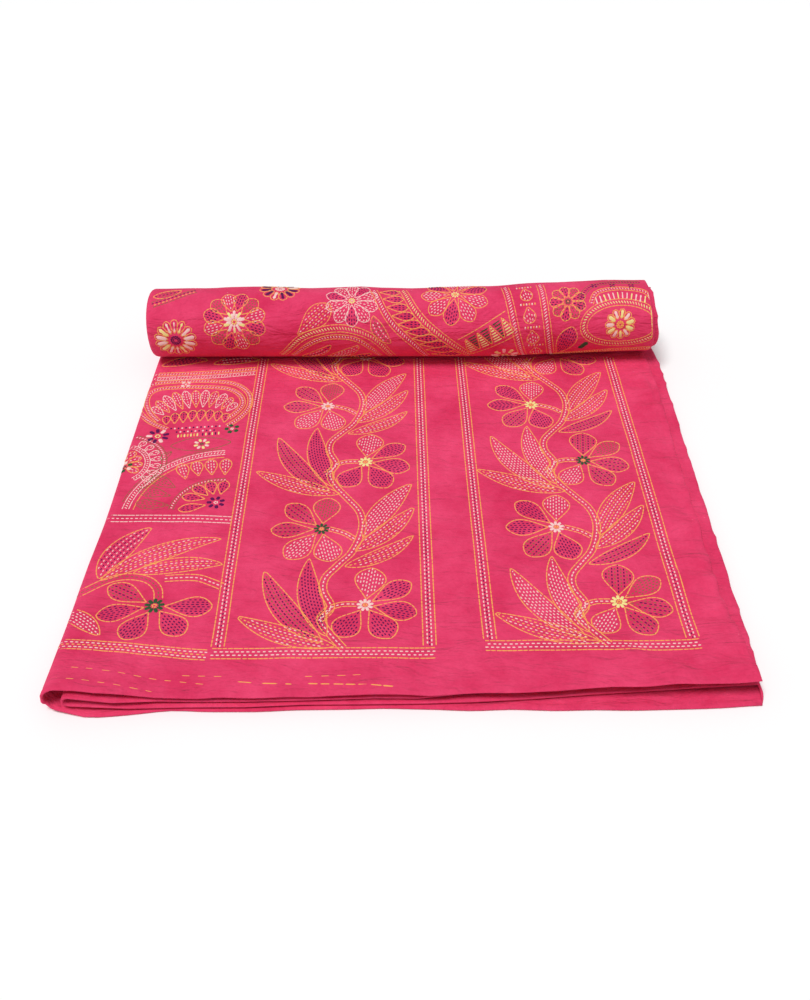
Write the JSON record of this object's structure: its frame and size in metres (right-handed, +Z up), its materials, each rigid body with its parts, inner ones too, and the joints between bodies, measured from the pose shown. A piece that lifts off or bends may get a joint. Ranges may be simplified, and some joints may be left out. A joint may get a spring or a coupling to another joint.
{
  "type": "kantha quilt",
  "caption": "Cotton kantha quilt with running-stitch flowers and vines, folded lengthwise into layers and rolled up from its far end, with its front part lying flat.",
  "frame": {"origin": "on the floor under the middle of the quilt's box", "axes": "+Z up from the floor, -Y towards the flat front hem, the roll lies along X at the +Y side"},
  "size_m": [0.5964, 0.57, 0.0907],
  "materials": {
    "pink_cotton": "matt hand-stitched cotton",
    "gold_thread": "orange-gold cotton running stitches",
    "white_thread": "off-white cotton running stitches",
    "plum_thread": "dark plum cotton running stitches",
    "green_thread": "dark green cotton running stitches",
    "olive_thread": "olive cotton running stitches",
    "yellow_thread": "pale yellow cotton running stitches"
  },
  "bodies": {
    "root": {"quilt": "pink_cotton"}
  },
  "joints": []
}
